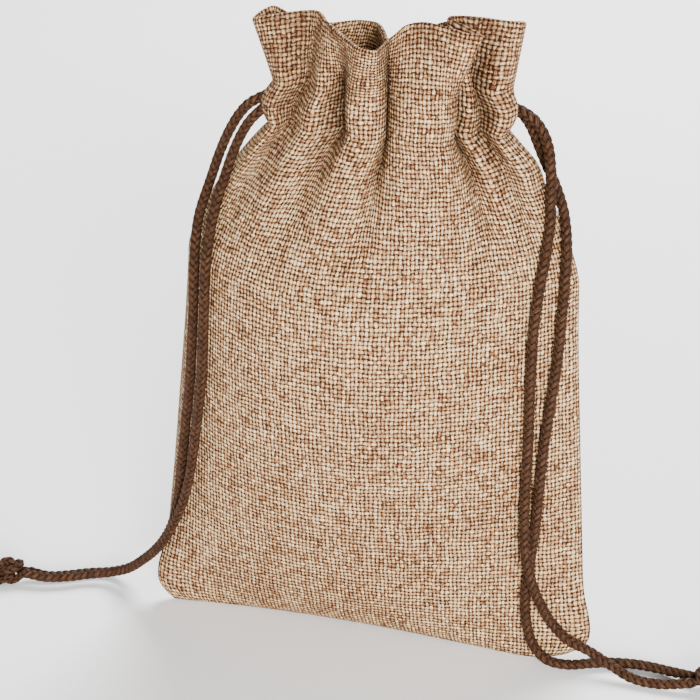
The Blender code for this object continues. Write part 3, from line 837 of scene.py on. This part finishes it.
# --------------------------------------
# Materials.
class Graph:
    """A material's nodes, written as sums. A value is a number or another node's socket."""

    def __init__(self, name):
        self.material = bpy.data.materials.new(name)
        self.material.use_nodes = True
        self.nodes = self.material.node_tree.nodes
        self.links = self.material.node_tree.links
        self.shader = self.nodes["Principled BSDF"]

    def feed(self, socket, value):
        """Give a socket its value."""
        if isinstance(value, bpy.types.NodeSocket):
            self.links.new(value, socket)
        else:
            socket.default_value = value

    def math(self, operation, *values):
        """One of the math node's operations."""
        node = self.nodes.new("ShaderNodeMath")
        node.operation = operation
        for socket, value in zip(node.inputs, values):
            self.feed(socket, value)
        return node.outputs[0]

    def add(self, first, second):
        return self.math("ADD", first, second)

    def less(self, first, second):
        """The first value with the second taken off."""
        return self.math("SUBTRACT", first, second)

    def centred(self, value):
        """A value about 0.5 moved to run about 0."""
        return self.less(value, 0.5)

    def times(self, first, second):
        return self.math("MULTIPLY", first, second)

    def between(self, first, second, share):
        """The first value at a share of 0 and the second at 1."""
        return self.add(first, self.times(share, self.less(second, first)))

    def uv(self, name):
        """The two values of a UV map."""
        node = self.nodes.new("ShaderNodeUVMap")
        node.uv_map = name
        split = self.nodes.new("ShaderNodeSeparateXYZ")
        self.links.new(node.outputs[0], split.inputs[0])
        return split.outputs[0], split.outputs[1]

    def attribute(self, name):
        """A value that the mesh's points carry."""
        node = self.nodes.new("ShaderNodeAttribute")
        node.attribute_name = name
        return node.outputs["Fac"]

    def place(self, x, y, z=0.0):
        """A place to read noise at."""
        node = self.nodes.new("ShaderNodeCombineXYZ")
        for socket, value in zip(node.inputs, (x, y, z)):
            self.feed(socket, value)
        return node.outputs[0]

    def noise(self, where, scale=1.0, detail=2.0, rough=0.5):
        """Smooth noise about 0.5."""
        node = self.nodes.new("ShaderNodeTexNoise")
        self.links.new(where, node.inputs["Vector"])
        node.inputs["Scale"].default_value = scale
        node.inputs["Detail"].default_value = detail
        node.inputs["Roughness"].default_value = rough
        return node.outputs["Fac"]

    def remap(self, value, low, high, to_low=0.0, to_high=1.0, smooth=False):
        """The range from low to high taken to another range, and held at its ends."""
        node = self.nodes.new("ShaderNodeMapRange")
        node.interpolation_type = "SMOOTHSTEP" if smooth else "LINEAR"
        for socket, part in zip(node.inputs, (value, low, high, to_low, to_high)):
            self.feed(socket, part)
        return node.outputs[0]

    def ramp(self, value, stops):
        """The colour of a value between stops of a place and a colour each."""
        node = self.nodes.new("ShaderNodeValToRGB")
        ramp_stops = node.color_ramp.elements
        while len(ramp_stops) < len(stops):
            ramp_stops.new(0.5)
        for stop, (place, colour) in zip(ramp_stops, stops):
            stop.position = place
            stop.color = (*colour, 1.0)
        self.feed(node.inputs[0], value)
        return node.outputs[0]

    def mix(self, share, first, second):
        """The first colour at a share of 0 and the second at 1."""
        node = self.nodes.new("ShaderNodeMix")
        node.data_type = "RGBA"
        self.feed(node.inputs["Factor"], share)
        self.feed(node.inputs[MIX_FIRST], first)
        self.feed(node.inputs[MIX_SECOND], second)
        return node.outputs[MIX_RESULT]

    def bump(self, height, distance, strength=1.0):
        """Relief of this height, from 0 to 1, over a distance in metres."""
        node = self.nodes.new("ShaderNodeBump")
        node.inputs["Strength"].default_value = strength
        node.inputs["Distance"].default_value = distance
        self.links.new(height, node.inputs["Height"])
        self.links.new(node.outputs[0], self.shader.inputs["Normal"])


def yarn(g, beside, ahead, number, run, key, rises):
    """Height, tone, fibres and painted light of one set of yarns: the light is lower on a yarn's flanks
    and where it dips. Beside is the place across a yarn from its middle, ahead the place along it from the
    crossing's middle, and run the whole way along it."""

    def own_noise(kind):
        """Noise that runs along each yarn on its own."""
        apart, pace, own_key, detail = kind
        return g.noise(g.place(g.times(number, apart), g.times(run, pace), key + own_key), 1.0, detail)

    beside = g.add(beside, g.times(g.centred(own_noise(SWAY)), SWAY_WIDE))
    wave = g.times(g.math("COSINE", g.times(ahead, math.pi)), rises)
    slub = g.remap(own_noise(SLUB), SLUB_LOW, SLUB_HIGH, YARN_THIN, YARN_THICK)
    thickness = g.add(slub, g.times(wave, YARN_SWELL))
    across = g.math("DIVIDE", beside, thickness)
    inside = g.less(1.0, g.times(across, across))
    round_top = g.math("SQRT", g.math("MAXIMUM", inside, 0.0))
    height = g.add(g.times(wave, WAVE_HEIGHT), g.times(round_top, 1 - WAVE_HEIGHT))
    light = g.times(round_top, g.add(g.times(wave, WAVE_LIGHT), 1 - WAVE_LIGHT))
    fibre = g.noise(g.place(g.times(beside, FIBRE_ACROSS), g.times(run, FIBRE_ALONG), g.add(number, key)))
    long = g.times(g.centred(own_noise(LONG)), LONG_SHARE)
    short = g.times(g.centred(own_noise(SHORT)), SHORT_SHARE)
    tone = g.add(g.add(long, short), g.times(g.centred(fibre), FIBRE_SHARE))
    return height, tone, fibre, light


def cloth_material():
    """Coarse plain weave: each yarn's colour runs along it, with painted shade in the gaps between the
    yarns, on their flanks, in the neck's folds and over the neck and mouth, and painted light on their
    raised tops.
    """
    g = Graph("jute_look_weave")
    flat_u, flat_v = g.uv("threads")
    drift = g.centred(g.noise(g.place(flat_u, flat_v), DRIFT_SCALE))
    drift_up = g.centred(g.noise(g.place(flat_v, flat_u, DRIFT_KEY), DRIFT_SCALE_UP))
    patch = g.centred(g.noise(g.place(flat_u, flat_v, PATCH_KEY), PATCH_SCALE))
    u = g.add(flat_u, drift)
    v = g.add(flat_v, drift_up)
    warp = g.math("FLOOR", u)
    weft = g.math("FLOOR", v)
    x = g.centred(g.less(u, warp))
    y = g.centred(g.less(v, weft))
    odd = g.math("FLOORED_MODULO", g.add(warp, weft), 2.0)
    sign = g.less(1.0, g.times(odd, 2.0))
    warp_height, warp_tone, warp_fibre, warp_light = yarn(g, x, y, warp, v, 0.0, sign)
    weft_height, weft_tone, weft_fibre, weft_light = yarn(g, y, x, weft, u, WEFT_KEY, g.times(sign, -1.0))
    over = g.remap(g.less(warp_height, weft_height), -CROSSING, CROSSING)
    top = g.math("MAXIMUM", warp_height, weft_height)
    hem_start = (CASING_LOW - HEM_BELOW) / THREAD_UP
    hem_full = (CASING_HIGH + HEM_ABOVE) / THREAD_UP
    tone = g.between(weft_tone, warp_tone, over)
    tone = g.add(tone, g.add(TONE, g.times(patch, PATCH_SHARE)))
    # Painted highlight: the yarns' raised tops are made lighter and their low parts darker.
    tone = g.add(tone, g.times(g.less(top, TOP_MIDDLE), TOP_PAINTED_LIGHT))
    # Painted shade: the neck and mouth are made darker.
    tone = g.add(tone, g.remap(flat_v, hem_start, hem_full, 0.0, HEM_SHADE))
    # Painted shade: the yarns' flanks and the gaps between them are darkened towards GAP_SHADE.
    shade = g.remap(g.between(weft_light, warp_light, over), GAP_LOW, GAP_HIGH, smooth=True)
    colour = g.mix(shade, GAP_SHADE, g.ramp(tone, YARN))
    # Painted shade: the neck's folds are darkened towards GAP_SHADE by how deep they lie.
    colour = g.mix(g.times(g.attribute("hollow"), HOLLOW_SHADE), colour, GAP_SHADE)
    g.links.new(colour, g.shader.inputs["Base Color"])
    fibre = g.between(weft_fibre, warp_fibre, over)
    relief = g.add(g.math("MAXIMUM", top, 0.0), g.times(fibre, FIBRE_RELIEF))
    g.bump(relief, WEAVE_DEEP * MM)
    g.shader.inputs["Roughness"].default_value = CLOTH_ROUGHNESS
    g.shader.inputs["Specular IOR Level"].default_value = CLOTH_SPECULAR
    return g.material


def braid_material():
    """Brown braid: fine filaments along each strand, and painted shade where a strand dips under others.
    """
    g = Graph("brown_braid")
    around, along = g.uv("strand")
    turned = g.times(around, 2 * math.pi)
    place = g.place(g.times(g.math("SINE", turned), FILAMENT_AROUND),
                    g.times(g.math("COSINE", turned), FILAMENT_AROUND), g.times(along, FILAMENT_ALONG))
    filament = g.noise(place, FILAMENT_SCALE, FILAMENT_DETAIL, FILAMENT_ROUGH)
    # Painted shade: a strand is darkened where it dips in towards the cord's middle.
    raised = g.remap(g.attribute("outward"), BRAID_SUNK, BRAID_PROUD, smooth=True)
    colour = g.mix(raised, BRAID_SHADE, g.ramp(filament, BRAID_BROWN))
    g.links.new(colour, g.shader.inputs["Base Color"])
    g.bump(filament, FILAMENT_DEEP * MM, FILAMENT_STRENGTH)
    g.shader.inputs["Roughness"].default_value = BRAID_ROUGHNESS
    g.shader.inputs["Specular IOR Level"].default_value = BRAID_SPECULAR
    return g.material


def plain_material(name, colour, roughness):
    """One plain colour."""
    g = Graph(name)
    g.shader.inputs["Base Color"].default_value = (*colour, 1.0)
    g.shader.inputs["Roughness"].default_value = roughness
    return g.material


# --------------------------------------
# The camera, the floor and the light.
def view_axes():
    """The camera's forward, right and up directions."""
    yaw, high, roll = (math.radians(value) for value in (YAW, ELEVATION, ROLL))
    forward = Vector((-math.sin(yaw) * math.cos(high), math.cos(yaw) * math.cos(high), -math.sin(high)))
    level = Vector((math.cos(yaw), math.sin(yaw), 0.0))
    above = level.cross(forward)
    right = level * math.cos(roll) + above * math.sin(roll)
    upward = above * math.cos(roll) - level * math.sin(roll)
    return forward, right, upward


def make_camera():
    """The camera at the angle that the constants give it."""
    forward, right, upward = view_axes()
    camera = bpy.data.objects.new("camera", bpy.data.cameras.new("camera"))
    bpy.context.scene.collection.objects.link(camera)
    camera.data.lens = LENS
    camera.data.sensor_width = SENSOR
    camera.data.sensor_fit = "HORIZONTAL"
    camera.data.clip_start = CLIP_START
    camera.data.clip_end = CLIP_END
    turn = Matrix((right, upward, -forward)).transposed()
    camera.matrix_world = Matrix.Translation(Vector(AIM) * MM - forward * DISTANCE * MM) @ turn.to_4x4()
    bpy.context.scene.camera = camera


def make_floor():
    """The pale floor that the pouch stands on."""
    bpy.ops.mesh.primitive_plane_add(size=FLOOR_SIZE, location=(0, 0, 0))
    floor = bpy.context.object
    floor.name = "floor"
    floor.data.materials.append(plain_material("pale_floor", FLOOR_COLOUR, FLOOR_ROUGHNESS))


def make_light(name, place, size, power):
    """A round soft light that points at the pouch."""
    lamp = bpy.data.lights.new(name, "AREA")
    lamp.shape = "DISK"
    lamp.size = size
    lamp.energy = power
    light = bpy.data.objects.new(name, lamp)
    light.location = place
    light.rotation_euler = (Vector(LIT_PLACE) - Vector(place)).to_track_quat("-Z", "Y").to_euler()
    bpy.context.scene.collection.objects.link(light)


def make_lights():
    """The studio's even white surround and its lights."""
    world = bpy.data.worlds.new("studio")
    world.use_nodes = True
    world.node_tree.nodes["Background"].inputs[0].default_value = (1.0, 1.0, 1.0, 1.0)
    world.node_tree.nodes["Background"].inputs[1].default_value = WORLD_LIGHT
    bpy.context.scene.world = world
    for name, place, size, power in LIGHTS:
        make_light(name, place, size, power)


# --------------------------------------
# The pieces.
def make_bag():
    """The cloth, which takes the place of the CAD's bag."""
    cloth = make_cloth("sack_cloth")
    cloth.data.materials.append(cloth_material())
    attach(cloth, "root")
    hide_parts("bag")


def make_drawstring(side, heading, braid):
    """The two free strands of one side's drawstring, and the knot that joins them."""
    names = [f"cord_{side}_{strand}" for strand in "ab"]
    lines = [in_frame(LEADS[name] + ROUTES[name]) for name in names]
    knot = make_braids("overhand_knot_" + side, tie_knot([line[-1] for line in lines], heading),
                       KNOT_SLIM)
    knot.data.materials.append(braid)
    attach(knot, "root")
    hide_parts("knot_" + side)
    for name, line in zip(names, lines):
        cord = make_braids(name.replace("cord", "braided_cord"), [line], CORD_PLUMP)
        cord.data.materials.append(braid)
        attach(cord, "root")
        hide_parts(name)


def main():
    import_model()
    make_camera()
    make_floor()
    make_lights()
    make_bag()
    braid = braid_material()
    for side, heading in KNOTS.items():
        make_drawstring(side, heading, braid)


main()
